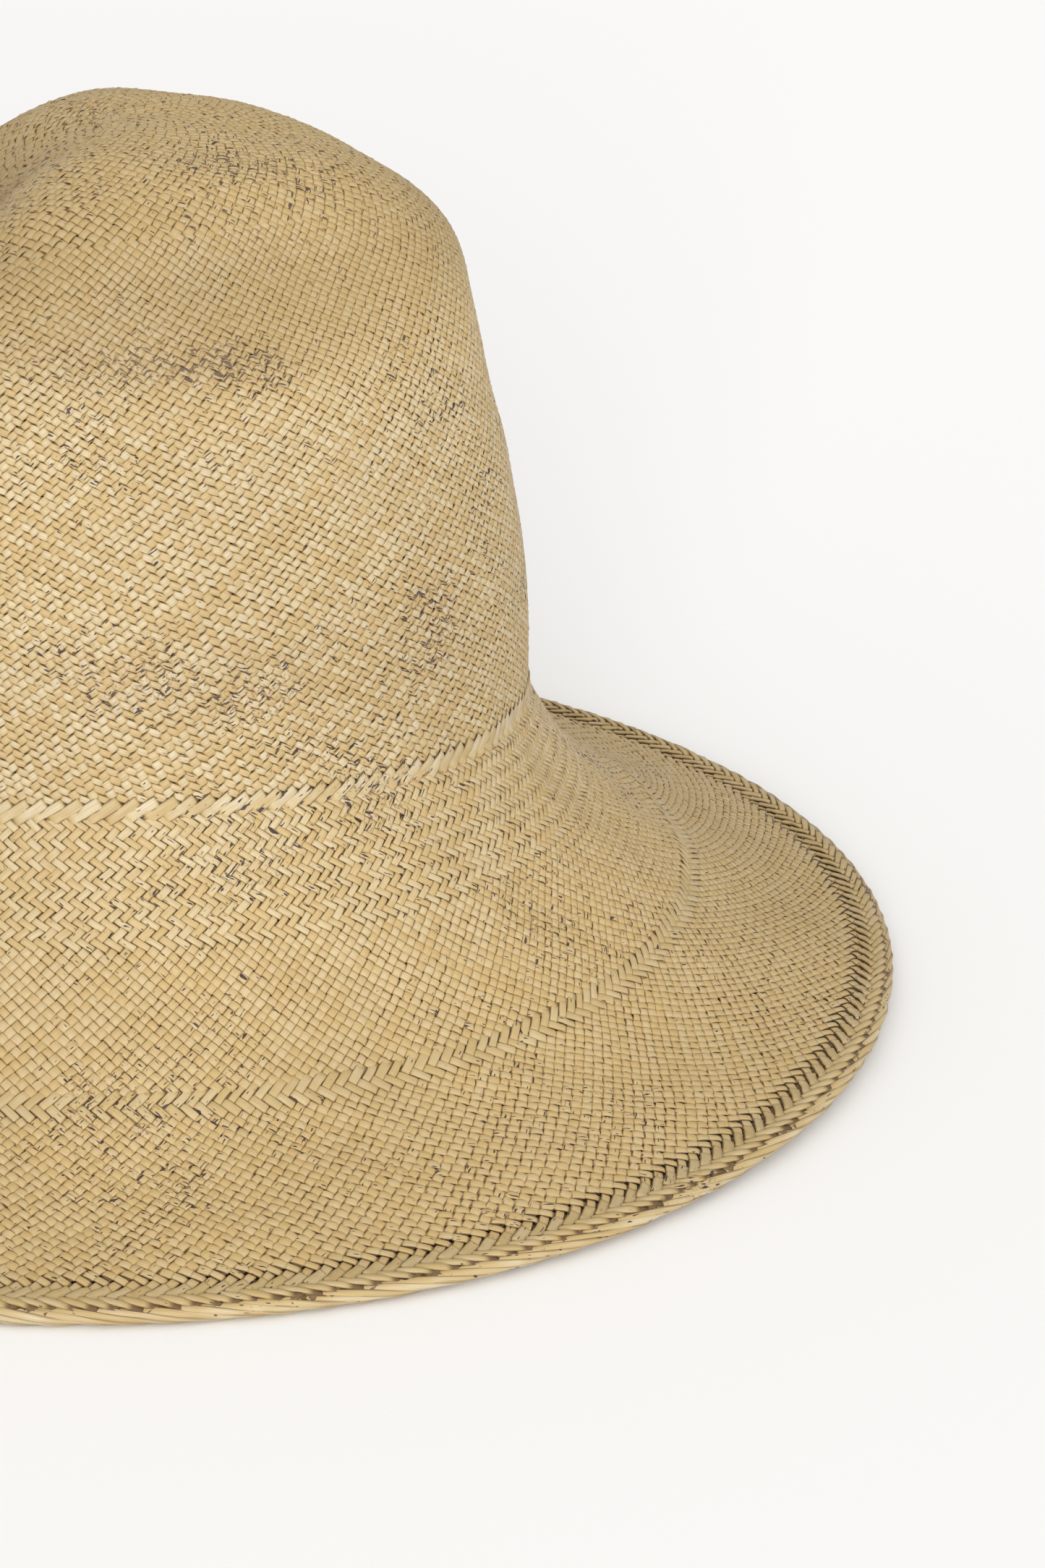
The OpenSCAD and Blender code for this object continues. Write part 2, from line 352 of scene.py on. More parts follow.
class Strands:
    """Strips with their places and attributes, ready to be made into meshes."""

    def __init__(self, centre, normal, half_width, thickness, rise, roll):
        ahead = unit(np.gradient(centre, axis=1))
        side = unit(np.cross(normal, ahead))
        up = np.cross(ahead, side)
        tilt = roll[..., None]
        side, up = (side * np.cos(tilt) + up * np.sin(tilt),
                    up * np.cos(tilt) - side * np.sin(tilt))
        across = SECTION[:, 0] * half_width[..., None]
        above = SECTION[:, 1] * thickness / 2
        self.points = (centre[:, :, None] + side[:, :, None] * across[..., None]
                       + up[:, :, None] * above[None, None, :, None])
        count, samples = centre.shape[:2]
        step = np.linalg.norm(np.diff(centre, axis=1), axis=-1)
        run = np.concatenate([np.zeros((count, 1)), np.cumsum(step, 1)], 1)
        tone = random.uniform(size=(count, 1)) * np.ones((1, samples))
        patch = smooth_noise(count, samples, 3)
        full = np.ones(len(SECTION))
        self.strand = np.stack([run[..., None] * full, across, tone[..., None] * full], -1)
        self.place = np.stack([rise[..., None] * full, patch[..., None] * full,
                               np.broadcast_to(SECTION[:, 0], across.shape)], -1)
        soil = sum(amount * np.exp(-(((centre - spot) / size) ** 2).sum(-1))
                   for spot, size, amount in SOILED)
        # Painted shade on the crown's shoulder
        shoulder_shade = bump(centre[..., 2] - SHOULDER_SHADE_HEIGHT, SHOULDER_SHADE_SPREAD)
        # Upward share of the normal, for painted shade on faces that turn up; the soiled
        # spots; and the painted shade on the crown's shoulder
        self.age = np.stack([normal[..., 2:3] * full, soil[..., None] * full,
                             shoulder_shade[..., None] * full], -1)


def zone_strands(zone, direction):
    """The zone's strands that run in one of the two directions."""
    row = zone.row_samples()[None, :]
    strand = np.arange(zone.strands)[:, None]
    angle = zone.angles(direction, strand, row)
    share = np.broadcast_to(row / len(zone.order), angle.shape)
    ring = zone.ring_at(share, angle)
    centre = wall.sample(wall.points, ring, angle)
    normal = unit(wall.sample(wall.normals, ring, angle))
    ahead = unit(np.gradient(centre, axis=1))
    side = unit(np.cross(normal, ahead))
    next_one = np.roll(centre, -1, 0) - centre
    pitch = np.abs((next_one * side).sum(-1))
    samples = angle.shape[1]
    width = (1 + WIDTH_CHANGE * smooth_noise(zone.strands, samples, 12)
             + WIDTH_SPREAD * random.normal(size=(zone.strands, 1)))
    half_width = zone.fill * pitch * np.clip(width, *WIDTH_LIMITS) / 2
    shift = pitch * STRAY_ASIDE * smooth_noise(zone.strands, samples, 4)
    rise = zone.rises(direction) + STRAY_RISE * smooth_noise(zone.strands, samples, 3)
    height = zone.height + zone.climb * np.clip(share, 0, 1) + zone.rise * rise
    centre = centre + normal * height[..., None] + side * shift[..., None]
    roll = np.radians(STRAY_ROLL) * smooth_noise(zone.strands, samples, 3)
    return Strands(centre, normal, half_width, zone.thickness, rise, roll)


def side_faces(count, samples):
    """The faces along the sides of strands, and their corners' places in a flat layout:
    the share of the way along the strand, and the number of sides below it."""
    sides = len(SECTION)
    i, s, c = np.meshgrid(np.arange(count), np.arange(samples - 1), np.arange(sides),
                          indexing="ij")
    here = (i * samples + s) * sides
    c1 = (c + 1) % sides
    quads = np.stack([here + c, here + sides + c, here + sides + c1, here + c1], -1)
    near, far = s / samples, (s + 1) / samples
    low = i * (sides + 1) + c
    uv = np.stack([np.stack([near, low], -1), np.stack([far, low], -1),
                   np.stack([far, low + 1], -1), np.stack([near, low + 1], -1)], -2)
    return quads.reshape(-1, 4), uv.reshape(-1, 2)


def end_faces(count, samples):
    """The two faces that close each end of the strands, and their corners' places in the
    same layout, past the strands' ends."""
    sides = len(SECTION)
    quads, uvs = [], []
    for sample, flip in ((0, False), (samples - 1, True)):
        start = (np.arange(count) * samples + sample) * sides
        for corners in ((0, 1, 2, 3), (0, 3, 4, 5)):
            cap = np.stack([start + k for k in corners], -1)
            quads.append(cap[:, ::-1] if flip else cap)
            u = (samples - 0.9 + 0.2 * flip + 0.1 * (corners[1] == 3)) / samples
            far = u + 0.05 / samples
            corner = np.array([[u, 0.1], [u, 0.9], [far, 0.9], [far, 0.1]])
            lift = np.arange(count)[:, None, None] * (sides + 1)
            uvs.append((corner[None] + lift * np.array([0, 1])).reshape(-1, 2))
    return np.concatenate(quads), np.concatenate(uvs)


def strands_mesh(name, groups, first, last):
    """One mesh with the strands from first up to last, counted along all groups."""
    tables = {"points": [], "strand": [], "place": [], "age": []}
    faces, uvs = [], []
    counted = used = corners = 0
    height = len(SECTION) + 1
    for group in groups:
        count, samples = group.points.shape[:2]
        low, high = max(first - counted, 0), min(last - counted, count)
        counted += count
        if high <= low:
            continue
        for key, parts in tables.items():
            parts.append(getattr(group, key)[low:high].reshape(-1, 3))
        for quads, uv in (side_faces(high - low, samples), end_faces(high - low, samples)):
            faces.append(quads + corners)
            uvs.append(uv + np.array([0, used * height]))
        corners += (high - low) * samples * len(SECTION)
        used += high - low
    uv = np.concatenate(uvs)
    uv[:, 1] /= used * height
    joined = {key: np.concatenate(parts) for key, parts in tables.items()}
    return make_mesh(name, joined.pop("points"), np.concatenate(faces), uv, joined)


def make_mesh(name, points, quads, uv, attributes):
    """A smooth mesh of quads, from places in millimetres, linked to the scene."""
    mesh = bpy.data.meshes.new(name)
    mesh.vertices.add(len(points))
    mesh.vertices.foreach_set("co", (points * MM).astype(np.float32).ravel())
    mesh.loops.add(len(quads) * 4)
    mesh.loops.foreach_set("vertex_index", quads.astype(np.int32).ravel())
    mesh.polygons.add(len(quads))
    mesh.polygons.foreach_set("loop_start", np.arange(0, len(quads) * 4, 4, dtype=np.int32))
    mesh.update(calc_edges=True)
    mesh.polygons.foreach_set("use_smooth", np.ones(len(quads), bool))
    layer = mesh.uv_layers.new(name="OFBake")
    layer.data.foreach_set("uv", uv.astype(np.float32).ravel())
    for key, values in attributes.items():
        attribute = mesh.attributes.new(key, "FLOAT_VECTOR", "POINT")
        attribute.data.foreach_set("vector", values.astype(np.float32).ravel())
    mesh.update()
    piece = bpy.data.objects.new(name, mesh)
    bpy.context.scene.collection.objects.link(piece)
    return piece


def place_piece(piece, material, node):
    """Gives a piece its material, and lets it stand in for its node of the part."""
    piece.data.materials.append(material)
    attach(piece, "root")
    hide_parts(node)


def weave(node, zones, material):
    """All the strands of the zones, in as few pieces as their triangles allow."""
    for direction, way in (("R", "right"), ("L", "left")):
        groups = [zone_strands(zone, direction) for zone in zones]
        weight = np.concatenate([np.full(len(group.points),
                                         group.points.shape[1] * 2 * len(SECTION))
                                 for group in groups])
        parts = max(1, math.ceil(weight.sum() / PIECE_TRIANGLES))
        cuts = np.searchsorted(np.cumsum(weight), weight.sum() * np.arange(parts + 1) / parts)
        cuts[0], cuts[-1] = 0, len(weight)
        for part in range(parts):
            name = f"{node}_{way}_strands" + (f"_{part + 1}" if parts > 1 else "")
            piece = strands_mesh(name, groups, cuts[part], cuts[part + 1])
            place_piece(piece, material, node)


# ---- Materials ----

STRAW_PALE = (0.605, 0.507, 0.325)
STRAW_GOLDEN = (0.500, 0.346, 0.138)
STRAW_DARK = (0.12, 0.065, 0.027)
BRAID_PALE = (0.61, 0.51, 0.33)
BRAID_GOLDEN = (0.48, 0.34, 0.14)
FLECK = (0.055, 0.036, 0.038)
DUST = (0.20, 0.12, 0.06)
GRIME = (0.30, 0.21, 0.12)
# Colour of the painted shade on the crown's shoulder
SHOULDER_SHADE = (0.32, 0.22, 0.09)
GREY_TINT = (0.80, 0.78, 0.76)
CLOTH_DARK = (0.30, 0.235, 0.145)
CLOTH_PALE = (0.40, 0.325, 0.215)
CLOTH_WORN = (0.22, 0.16, 0.095)
THREAD_DARK = (0.40, 0.34, 0.22)
THREAD_PALE = (0.62, 0.55, 0.40)
FLOOR_WHITE = (0.925, 0.917, 0.903)
WHITE = (1.0, 1.0, 1.0)


class Nodes:
    """Short names for making a material's nodes."""

    def __init__(self, name):
        self.material = bpy.data.materials.new(name)
        self.material.use_nodes = True
        self.tree = self.material.node_tree
        self.shader = self.tree.nodes["Principled BSDF"]

    def add(self, kind, **settings):
        node = self.tree.nodes.new("ShaderNode" + kind)
        for key, value in settings.items():
            setattr(node, key, value)
        return node

    def put(self, socket, value):
        if isinstance(value, bpy.types.NodeSocket):
            self.tree.links.new(value, socket)
        elif socket.type == "RGBA" and len(value) == 3:
            socket.default_value = (*value, 1)
        else:
            socket.default_value = value

    def attribute(self, name):
        split = self.add("SeparateXYZ")
        self.put(split.inputs[0], self.add("Attribute", attribute_name=name).outputs["Vector"])
        return split.outputs

    def math(self, operation, a, b=0.0, c=0.0):
        node = self.add("Math", operation=operation)
        for socket, value in zip(node.inputs, (a, b, c)):
            self.put(socket, value)
        return node.outputs[0]

    def plus(self, a, b):
        return self.math("ADD", a, b)

    def times(self, a, b):
        return self.math("MULTIPLY", a, b)

    def span(self, value, low, high, out_low=0.0, out_high=1.0):
        """The value's smooth share of the way from low to high, spread over the outputs."""
        node = self.add("MapRange", interpolation_type="SMOOTHSTEP")
        for socket, number in zip(node.inputs, (value, low, high, out_low, out_high)):
            self.put(socket, number)
        return node.outputs[0]

    def mix(self, share, a, b, blend="MIX"):
        node = self.add("Mix", data_type="RGBA", blend_type=blend)
        self.put(node.inputs[0], share)
        self.put(node.inputs[6], a)
        self.put(node.inputs[7], b)
        return node.outputs[2]

    def vector(self, x, y, z):
        node = self.add("CombineXYZ")
        for socket, value in zip(node.inputs, (x, y, z)):
            self.put(socket, value)
        return node.outputs[0]

    def noise(self, place, scale, detail=2.0, roughness=0.5):
        node = self.add("TexNoise")
        self.put(node.inputs["Vector"], place)
        self.put(node.inputs["Scale"], scale)
        self.put(node.inputs["Detail"], detail)
        self.put(node.inputs["Roughness"], roughness)
        return node.outputs["Fac"]

    def object_place(self):
        return self.add("TexCoord").outputs["Object"]

    def relief(self, height, strength, depth):
        """Small bumps in the surface, of that depth in millimetres."""
        node = self.add("Bump")
        node.inputs["Strength"].default_value = strength
        node.inputs["Distance"].default_value = depth * MM
        self.put(node.inputs["Height"], height)
        self.put(self.shader.inputs["Normal"], node.outputs["Normal"])


def straw_material(name, pale, golden):
    """Split plant straw: long fibres and purple-brown flecks, with painted shade that makes
    the ends of its pads golden and its edges brown. Straw that faces up is painted more
    golden as painted shade, and soiled straw has more flecks and brown dust."""
    n = Nodes(name)
    run, across, tone = n.attribute("strand")
    rise, patch, edge = n.attribute("place")
    # Upward share of the wall's normal, for painted shade on faces that turn up; soiled spots;
    # painted shade on the crown's shoulder
    upward, soil, shoulder_shade = n.attribute("age")
    spot = n.object_place()

    fibres = n.noise(n.vector(n.times(run, 0.10), n.times(across, 4.5), n.times(tone, 91)),
                     1.0, 3.0, 0.6)
    flecks = n.noise(n.vector(n.times(run, 0.38), n.times(across, 1.5), n.times(tone, 53)),
                     1.0, 1.0)
    cloudy = n.plus(n.noise(spot, 28.0, 2.0), n.times(soil, 0.24))
    freckles = n.noise(spot, 1300.0, 1.0)

    # The plant's own colours
    shade = n.plus(tone, n.times(patch, 0.16))
    colour = n.mix(n.span(shade, 0.0, 1.0), n.mix(0.24, golden, pale), pale)
    colour = n.mix(n.span(fibres, 0.35, 0.65), n.mix(0.23, colour, STRAW_DARK), colour)
    # Painted shade: straw that faces up is made more golden
    colour = n.mix(n.span(upward, 0.1, 0.95, 0.0, 0.6), colour, golden)

    # Painted shade: darker where a strand dives under its neighbour and along its edges, in
    # the gaps between the strands
    colour = n.mix(n.times(n.span(rise, 0.97, 0.3), 0.75), colour, golden)
    rim = n.span(n.math("ABSOLUTE", edge), 0.70, 1.0)
    colour = n.mix(n.times(rim, 0.52), colour, STRAW_DARK)
    colour = n.mix(n.span(rise, 0.4, -0.4, 0.0, 0.88), colour, STRAW_DARK)

    # Flecks, dust, grime and mottling, and painted shade on the crown's shoulder
    speck = n.span(n.plus(flecks, n.times(cloudy, 0.42)), 0.915, 0.945)
    colour = n.mix(speck, colour, FLECK)
    dust = n.times(n.span(freckles, 0.60, 0.66), n.span(cloudy, 0.57, 0.72))
    colour = n.mix(n.times(dust, 0.7), colour, DUST)
    colour = n.mix(n.times(soil, 0.18), colour, GRIME)
    # Painted shade on the crown's shoulder
    colour = n.mix(n.times(shoulder_shade, 0.50), colour, SHOULDER_SHADE)
    tint = n.span(n.noise(spot, 14.0, 2.0), 0.3, 0.7)
    colour = n.mix(0.4, colour, n.mix(tint, GREY_TINT, WHITE), "MULTIPLY")

    n.put(n.shader.inputs["Base Color"], colour)
    n.put(n.shader.inputs["Roughness"], n.span(fibres, 0.3, 0.7, 0.62, 0.46))
    n.shader.inputs["Specular IOR Level"].default_value = 0.35
    n.relief(fibres, 0.8, 0.09)
    return n.material


def cloth_material():
    """Cotton ribbon: fine threads across the band, and darker where it is worn."""
    n = Nodes("sweatband_cloth")
    run, across, tone = n.attribute("strand")
    threads = n.noise(n.vector(n.times(run, 7.0), n.times(across, 1.2), tone), 1.0, 2.0)
    colour = n.mix(n.span(threads, 0.3, 0.7), CLOTH_DARK, CLOTH_PALE)
    worn = n.span(n.noise(n.object_place(), 22.0, 3.0), 0.42, 0.68, 0.0, 0.35)
    n.put(n.shader.inputs["Base Color"], n.mix(worn, colour, CLOTH_WORN))
    n.shader.inputs["Roughness"].default_value = 0.85
    n.shader.inputs["Specular IOR Level"].default_value = 0.25
    n.shader.inputs["Sheen Weight"].default_value = 0.15
    n.relief(threads, 0.4, 0.08)
    return n.material


def thread_material():
    """Cotton sewing thread, with stripes of twist across it."""
    n = Nodes("thread")
    run, across, _ = n.attribute("strand")
    twist = n.math("SINE", n.plus(n.times(run, 7.0), n.times(across, 12.0)))
    n.put(n.shader.inputs["Base Color"],
          n.mix(n.span(twist, -1.0, 1.0), THREAD_DARK, THREAD_PALE))
    n.shader.inputs["Roughness"].default_value = 0.8
    return n.material


straw = straw_material("straw", STRAW_PALE, STRAW_GOLDEN)
braid_straw = straw_material("braid_straw", BRAID_PALE, BRAID_GOLDEN)
cloth = cloth_material()
thread = thread_material()

# ---- The pieces ----


def plain(rows, first="R"):
    """Row order of a plain weave: strands of the two directions on top in turn."""
    second = "L" if first == "R" else "R"
    return "".join(first if row % 2 == 0 else second for row in range(rows))


# Distances from the tip at which strands are added, so that they stay equally wide
TIP_ARCS = (5, 6.5, 8.5, 11, 14, 17.5, 22, 28, 35, 44, 54, 66)
STRAND_SPACING = 2.9
ROW_HEIGHT = 1.35
# Length around a ring of the tip, as a share of a circle's at its distance from the tip
TIP_ROUNDNESS = 0.93
# The square that the weave starts from: strands each way, the distance between them, how
# far they reach past it, how far they lie over the wall's middle, and their half width
# as a share of the distance
START_STRANDS = 6
START_SPACING = 2.2
START_REACH = 1.5
START_HEIGHT = 0.15
START_HALF_FILL = 0.48
CROWN_STRANDS = 160
BAND_STRANDS = 252
BRIM_STRANDS = 270
SIDE_ROWS = 105
FIELD_ROWS = 22
OUTER_ROWS = 30
# How far the edge braid reaches over the rolled edge, in rings
BRAID_OVERLAP = 0.010


def tip_zones():
    """Rings of plain weave from the tip outwards, each with more strands than the last."""
    arcs = wall.arc.mean(1)
    ends = list(TIP_ARCS) + [np.interp(RING_TIP_END, np.linspace(0, 2, RING_STEPS + 1), arcs)]
    zones = []
    for near, far in zip(ends[:-1], ends[1:]):
        last = far == ends[-1]
        around = 2 * math.pi * (near + far) / 2 * TIP_ROUNDNESS
        count = round(around / STRAND_SPACING)
        rows = max(2, round((far - near) / ROW_HEIGHT / 2) * 2)
        zones.append(Zone(wall.ring_at_arc(near), wall.ring_at_arc(far),
                          CROWN_STRANDS if last else max(8, count), plain(rows),
                          ahead="R" if last else " ", lean=0.05))
    return zones


def tip_start():
    """The flat square of plain weave in the middle of the tip, where the hat was begun."""
    half = START_STRANDS / 2 * START_SPACING
    middle = (START_STRANDS - 1) / 2
    places = (np.arange(START_STRANDS) - middle) * START_SPACING
    along_it = np.linspace(-1, 1, 6 * START_STRANDS + 1) * (half + START_REACH)
    shares = np.linspace(0, 0.3, 200)
    sizes = along(CROWN_PROFILE, shares)[:, 0]
    groups = []
    for direction in (0, 1):
        u, v = np.broadcast_arrays(along_it[None, :], places[:, None])
        x, y = (u, v) if direction == 0 else (v, u)
        share = np.hypot(x / OPENING_HALF_LENGTH, y / OPENING_HALF_WIDTH)
        angle = np.degrees(np.arctan2(y / OPENING_HALF_WIDTH, x / OPENING_HALF_LENGTH))
        ring = np.interp(share, sizes, shares)
        centre = wall.sample(wall.points, ring, angle)
        normal = unit(wall.sample(wall.normals, ring, angle))
        order = np.arange(START_STRANDS)[:, None] + direction
        rise = np.cos(np.pi * (u / START_SPACING + middle + order))
        rise = np.where(np.abs(u) > half, -1.0, np.clip(1.5 * rise, -1, 1))
        centre = centre + normal * (START_HEIGHT + STRAND_RISE * rise)[..., None]
        half_width = np.full(rise.shape, START_HALF_FILL * START_SPACING)
        groups.append(Strands(centre, normal, half_width, STRAND_THICKNESS, rise, 0 * rise))
    piece = strands_mesh("crown_tip_start", groups, 0, 2 * START_STRANDS)
    place_piece(piece, straw, "crown_tip")


tip = tip_zones()
crown = Zone(RING_TIP_END, RING_SIDE_END, CROWN_STRANDS, plain(SIDE_ROWS),
             follows=tip[-1], ahead="L", lean=0.09)
headline = Zone(RING_SIDE_END, RING_HEADLINE_END, CROWN_STRANDS, "LLL", follows=crown,
                height=0.2, rise=0.4, fill=1.2)
band = Zone(RING_HEADLINE_END, RING_HERRINGBONE_END, BAND_STRANDS, "RR" + "LLRR" * 6,
            ahead="L", lean=0.03)
field = Zone(RING_HERRINGBONE_END, RING_RIB_START, BAND_STRANDS, plain(FIELD_ROWS, "L"),
             follows=band)
rib = Zone(RING_RIB_START, RING_RIB_END, BRIM_STRANDS, "LLRR", ahead="L", lean=0.02,
           height=0.1)
outer = Zone(RING_RIB_END, RING_OPENWORK_START, BRIM_STRANDS, plain(OUTER_ROWS, "L"),
             follows=rib, ahead="R", lean=0.10)
openwork = Zone(RING_OPENWORK_START, RING_OPENWORK_END, BRIM_STRANDS, "RL",
                follows=outer, ahead="L", lean=0.12, fill=0.74)
braid = Zone(RING_OPENWORK_END, RING_BRAID_END + BRAID_OVERLAP, BRIM_STRANDS, "LLLRR",
             follows=openwork, lean=0.15, rise=0.35, height=0.1, climb=1.7, thickness=0.6,
             fill=1.12)

weave("crown_tip", tip, straw)
tip_start()
weave("crown_side", [crown], straw)
weave("headline_braid", [headline], braid_straw)
weave("herringbone_band", [band], straw)
weave("brim_inner_field", [field], straw)
weave("brim_rib", [rib], braid_straw)
weave("brim_outer_field", [outer], straw)
weave("openwork_row", [openwork], straw)
weave("edge_braid", [braid], braid_straw)

# Strands of the rolled edge, the turns they make around it, and samples along each one
EDGE_STRANDS = 7
EDGE_TURNS = 21
EDGE_SAMPLES = 1150
EDGE_STRAND_THICKNESS = 0.9
# Half width as a share of their distance, and how much it changes along the strand
EDGE_HALF_FILL = 0.56
EDGE_WIDTH_CHANGE = 0.07
# How far a strand lies off the edge's own outline, how much it strays from that, and the
# most by which it strays outwards
EDGE_BULGE = -0.32
EDGE_STRAY = 0.14
EDGE_STRAY_LIMIT = 0.1
# How far the strands are turned about their own length, and how much that changes
EDGE_ROLL = 13
EDGE_ROLL_CHANGE = 6


def rolled_edge():
    """Strands twisted around the rim, which the hat stands on."""
    angle = np.linspace(0, 360, EDGE_SAMPLES)[None, :]
    strand = np.arange(EDGE_STRANDS)[:, None]
    turn = np.radians(360 * strand / EDGE_STRANDS - EDGE_TURNS * angle)
    angle = np.broadcast_to(angle, turn.shape)
    core = brim_points(np.ones_like(turn), angle)
    out = np.stack([np.cos(np.radians(angle)), np.sin(np.radians(angle)), 0 * angle], -1)
    up = np.array([0.0, 0.0, 1.0])
    wide = (ROLLED_EDGE_WIDTH - EDGE_STRAND_THICKNESS) / 2
    tall = (ROLLED_EDGE_HEIGHT - EDGE_STRAND_THICKNESS) / 2
    cos, sin = np.cos(turn)[..., None], np.sin(turn)[..., None]
    centre = core + out * (wide * cos) + up * (tall * sin)
    normal = unit(out * (cos / wide) + up * (sin / tall))
    around = 2 * math.pi * math.hypot(wide, tall) / math.sqrt(2)
    uneven = smooth_noise(EDGE_STRANDS, EDGE_SAMPLES, 9)
    half_width = around / EDGE_STRANDS * (EDGE_HALF_FILL + EDGE_WIDTH_CHANGE * uneven)
    stray = EDGE_STRAY * smooth_noise(EDGE_STRANDS, EDGE_SAMPLES, 6)
    bulge = np.minimum(stray, EDGE_STRAY_LIMIT) + EDGE_BULGE
    centre = centre + normal * bulge[..., None]
    rise = 0.9 + 0.25 * smooth_noise(EDGE_STRANDS, EDGE_SAMPLES, 8)
    roll = (np.radians(EDGE_ROLL)
            + np.radians(EDGE_ROLL_CHANGE) * smooth_noise(EDGE_STRANDS, EDGE_SAMPLES, 7))
    group = Strands(centre, normal, half_width, EDGE_STRAND_THICKNESS, rise, roll)
    piece = strands_mesh("rolled_edge_strands", [group], 0, EDGE_STRANDS)
    place_piece(piece, braid_straw, "rolled_edge")


rolled_edge()

# Sweatband: its outer face off the wall's middle, its thickness and its inner face, its
# lower edge above the headline, and its width
SWEATBAND_OUTSIDE = -1.2
SWEATBAND_THICKNESS = 0.8
SWEATBAND_INSIDE = SWEATBAND_OUTSIDE - SWEATBAND_THICKNESS
SWEATBAND_BOTTOM = 2
SWEATBAND_WIDTH = 30
# Steps from its upper to its lower edge
SWEATBAND_STEPS = 10
# Ribs of its cloth, around the hat, and their height
CLOTH_RIBS = 720
CLOTH_RIB_HEIGHT = 0.05
# Stitches: how far they lie above the band's lower edge, and how far off its face in
# their middle and at their ends
STITCHES = 72
STITCH_LENGTH = 3.4
STITCH_HEIGHT = 1.6
STITCH_OFF = 0.45
STITCH_END_OFF = 0.2
THREAD_WIDTH = 0.52
THREAD_THICKNESS = 0.5
# Bow: width over both loops, height above the band's lower edge, distance off the band,
# thickness of its ribbon, half width of the loops at the knot and what they gain by
# their ends, and half width of the knot
BOW_WIDTH = 34
BOW_HEIGHT = 8
BOW_OFF = 1.6
BOW_THICKNESS = 0.4
LOOP_HALF_WIDTH = 2.0
LOOP_HALF_GAIN = 2.6
KNOT_HALF_WIDTH = 2.8


def ring_at_height(height):
    """Ring at a height above the headline, on the crown's wall."""
    knots = CROWN_PROFILE[:2:-1]
    places = np.linspace(0, 1, len(CROWN_PROFILE))[:2:-1]
    return np.interp(height, CROWN_HEIGHT * knots[:, 1], places)


def off_wall(ring, angle, distance):
    """Places at a distance from the wall's middle, and the wall's direction there."""
    ring, angle, distance = np.broadcast_arrays(ring, angle, distance)
    centre = wall.sample(wall.points, ring, angle)
    normal = unit(wall.sample(wall.normals, ring, angle))
    return centre + normal * distance[..., None], normal


def sweatband():
    """A closed band of ribbed cloth, from its upper edge down to its lower edge on the
    outside, and up again on the inside. It comes with its length around the hat."""
    height = SWEATBAND_BOTTOM + SWEATBAND_WIDTH * np.linspace(1, 0, SWEATBAND_STEPS + 1)
    height = np.concatenate([height, height[::-1]])[:, None]
    angle = np.arange(3 * CLOTH_RIBS)[None, :] * 120 / CLOTH_RIBS
    outside = (np.arange(2 * SWEATBAND_STEPS + 2) <= SWEATBAND_STEPS)[:, None]
    rib = CLOTH_RIB_HEIGHT * np.cos(np.radians(CLOTH_RIBS * angle))
    points, _ = off_wall(ring_at_height(height), angle,
                         np.where(outside, SWEATBAND_OUTSIDE, SWEATBAND_INSIDE) + rib)
    rows, columns = points.shape[:2]
    i, j = np.meshgrid(np.arange(rows), np.arange(columns), indexing="ij")
    i1, j1 = (i + 1) % rows, (j + 1) % columns
    quads = np.stack([i * columns + j, i1 * columns + j, i1 * columns + j1,
                      i * columns + j1], -1).reshape(-1, 4)
    uv = np.stack([np.stack([(j + dj) / columns, (i + di) / rows], -1)
                   for di, dj in ((0, 0), (1, 0), (1, 1), (0, 1))], -2).reshape(-1, 2)
    middle, _ = off_wall(ring_at_height(SWEATBAND_BOTTOM + SWEATBAND_WIDTH / 2), angle[0],
                         SWEATBAND_OUTSIDE)
    length = np.linalg.norm(np.diff(middle, axis=0), axis=-1).sum()
    run, up = np.broadcast_arrays(angle / 360 * length, height)
    strand = np.stack([run, up, 0 * run], -1).reshape(-1, 3)
    piece = make_mesh("sweatband_ribbon", points.reshape(-1, 3), quads, uv,
                      {"strand": strand})
    place_piece(piece, cloth, "sweatband")
    return piece, length


def strips(name, centre, normal, half_width, thickness, material, node):
    """A piece made of flat strips that aren't woven."""
    flat = np.zeros(centre.shape[:2])
    group = Strands(centre, normal, half_width, thickness, flat, flat)
    piece = strands_mesh(name, [group], 0, len(centre))
    place_piece(piece, material, node)
    return piece


def sweatband_stitches():
    """Running stitches along the lower edge, each one bulging a little off the cloth."""
    middle = 360 * (np.arange(STITCHES)[:, None] + 0.5) / STITCHES
    share = np.linspace(-1, 1, 9)[None, :]
    around = wall.sample(wall.points, np.full(middle.shape, 1.0), middle)
    radius = np.linalg.norm(around[..., :2], axis=-1)
    angle = middle + share * np.degrees(STITCH_LENGTH / 2 / radius)
    off = STITCH_OFF + (STITCH_END_OFF - STITCH_OFF) * share**4
    centre, normal = off_wall(ring_at_height(SWEATBAND_BOTTOM + STITCH_HEIGHT), angle,
                              SWEATBAND_INSIDE - off)
    return strips("sweatband_running_stitches", centre, normal,
                  np.full(angle.shape, THREAD_WIDTH / 2), THREAD_THICKNESS, thread,
                  "sweatband_stitches")


